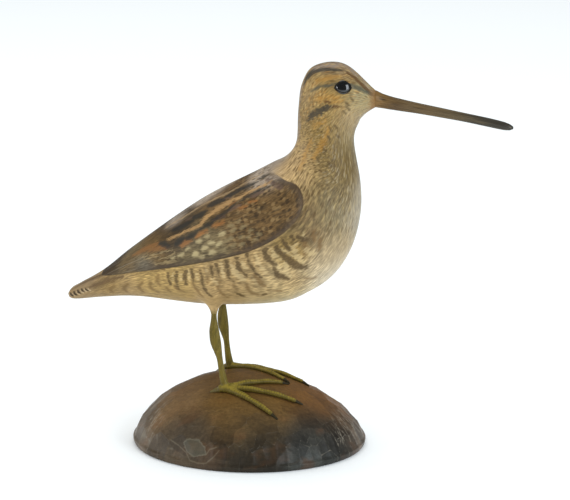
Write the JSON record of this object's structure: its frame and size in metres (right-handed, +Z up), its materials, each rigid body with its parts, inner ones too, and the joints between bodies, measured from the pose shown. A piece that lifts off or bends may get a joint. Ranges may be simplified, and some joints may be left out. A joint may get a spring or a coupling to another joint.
{
  "type": "shorebird decoy",
  "caption": "Carved and painted long-billed shorebird with glass eyes, standing on slim legs with spread toes on a domed, gouge-cut wooden base.",
  "frame": {"origin": "centre of the base's flat underside, on the surface that it stands on", "axes": "+X forward, the way the bill points; +Y the bird's left; +Z up"},
  "size_m": [0.2154, 0.097, 0.19],
  "materials": {
    "painted_plumage": "satin paint on carved wood",
    "bill_paint": "satin paint on wood",
    "eye_glass": "polished black glass, opaque",
    "leg_paint": "satin paint",
    "base_wood": "dark stained, satin"
  },
  "bodies": {
    "root": {"base": "base_wood", "body": "painted_plumage", "bill": "bill_paint", "eye_left": "eye_glass", "eye_right": "eye_glass", "leg_left": "leg_paint", "leg_right": "leg_paint"}
  },
  "joints": []
}
